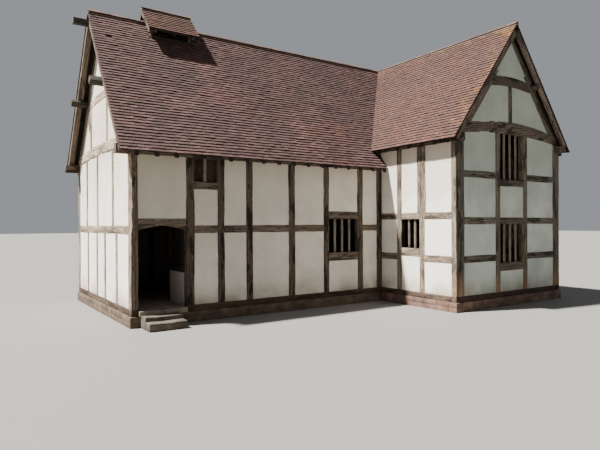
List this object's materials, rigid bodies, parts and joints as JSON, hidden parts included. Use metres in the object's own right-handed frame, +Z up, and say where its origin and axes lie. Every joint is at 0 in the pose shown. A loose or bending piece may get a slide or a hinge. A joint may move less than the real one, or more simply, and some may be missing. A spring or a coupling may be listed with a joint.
{
  "type": "half timbered house",
  "caption": "Timber framed house: an open hall with a smoke louvre on its ridge and a two storey cross wing, lime plaster panels and tiled roofs.",
  "frame": {"origin": "outer front left corner of the hall's timber frame, on the ground", "axes": "+X along the hall front towards the wing, +Y back through the house, +Z up"},
  "size_m": [13.792, 9.122, 8.6896],
  "materials": {
    "plinth": "rough squared sandstone",
    "door_steps": "worn sandstone",
    "threshold": "worn sandstone",
    "ground_floor": "beaten earth and stone",
    "sill_beams": "weathered hewn oak",
    "wall_plates": "weathered hewn oak",
    "hall_front_posts": "weathered hewn oak",
    "hall_front_rails": "weathered hewn oak",
    "hall_front_panels": "limewashed plaster on wattle and daub",
    "door_head": "weathered hewn oak",
    "hall_gable_posts": "weathered hewn oak",
    "hall_gable_rails": "weathered hewn oak",
    "hall_gable_panels": "limewashed plaster on wattle and daub",
    "rear_posts": "weathered hewn oak",
    "rear_rails": "weathered hewn oak",
    "rear_panels": "limewashed plaster on wattle and daub",
    "wing_side_posts": "weathered hewn oak",
    "wing_side_rails": "weathered hewn oak",
    "wing_side_panels": "limewashed plaster on wattle and daub",
    "wing_front_posts": "weathered hewn oak",
    "wing_front_rails": "weathered hewn oak",
    "wing_front_panels": "limewashed plaster on wattle and daub",
    "inner_posts": "weathered hewn oak",
    "window_mullions": "weathered hewn oak",
    "upper_shutter": "weathered hewn oak",
    "screen_frame": "weathered hewn oak",
    "screen_panel": "limewashed plaster on wattle and daub",
    "wing_floor_beams": "weathered hewn oak",
    "wing_floor_joists": "weathered hewn oak",
    "wing_floor_boards": "weathered hewn oak",
    "tie_beams": "weathered hewn oak",
    "collar_beams": "weathered hewn oak",
    "principal_rafters": "weathered hewn oak",
    "purlins": "weathered hewn oak",
    "ridge_beams": "weathered hewn oak",
    "common_rafters": "weathered hewn oak",
    "valley_rafters": "weathered hewn oak",
    "barge_rafters": "weathered hewn oak",
    "hall_roof_front": "hand made plain clay tiles",
    "hall_roof_rear": "hand made plain clay tiles",
    "wing_roof_left": "hand made plain clay tiles",
    "wing_roof_right": "hand made plain clay tiles",
    "ridge_tiles": "clay ridge tiles bedded in lime mortar",
    "louvre_curb": "weathered hewn oak",
    "louvre_frame": "weathered hewn oak",
    "louvre_roof": "hand made plain clay tiles",
    "louvre_ridge_tiles": "clay ridge tiles bedded in lime mortar"
  },
  "bodies": {
    "root": {"plinth": "plinth", "door_steps": "door_steps", "threshold": "threshold", "ground_floor": "ground_floor", "sill_beams": "sill_beams", "wall_plates": "wall_plates", "hall_front_posts": "hall_front_posts", "hall_front_rails": "hall_front_rails", "hall_front_panels": "hall_front_panels", "door_head": "door_head", "hall_gable_posts": "hall_gable_posts", "hall_gable_rails": "hall_gable_rails", "hall_gable_panels": "hall_gable_panels", "rear_posts": "rear_posts", "rear_rails": "rear_rails", "rear_panels": "rear_panels", "wing_side_posts": "wing_side_posts", "wing_side_rails": "wing_side_rails", "wing_side_panels": "wing_side_panels", "wing_front_posts": "wing_front_posts", "wing_front_rails": "wing_front_rails", "wing_front_panels": "wing_front_panels", "inner_posts": "inner_posts", "window_mullions": "window_mullions", "upper_shutter": "upper_shutter", "screen_frame": "screen_frame", "screen_panel": "screen_panel", "wing_floor_beams": "wing_floor_beams", "wing_floor_joists": "wing_floor_joists", "wing_floor_boards": "wing_floor_boards", "tie_beams": "tie_beams", "collar_beams": "collar_beams", "principal_rafters": "principal_rafters", "purlins": "purlins", "ridge_beams": "ridge_beams", "common_rafters": "common_rafters", "valley_rafters": "valley_rafters", "barge_rafters": "barge_rafters", "hall_roof_front": "hall_roof_front", "hall_roof_rear": "hall_roof_rear", "wing_roof_left": "wing_roof_left", "wing_roof_right": "wing_roof_right", "ridge_tiles": "ridge_tiles", "louvre_curb": "louvre_curb", "louvre_frame": "louvre_frame", "louvre_roof": "louvre_roof", "louvre_ridge_tiles": "louvre_ridge_tiles"}
  },
  "joints": []
}
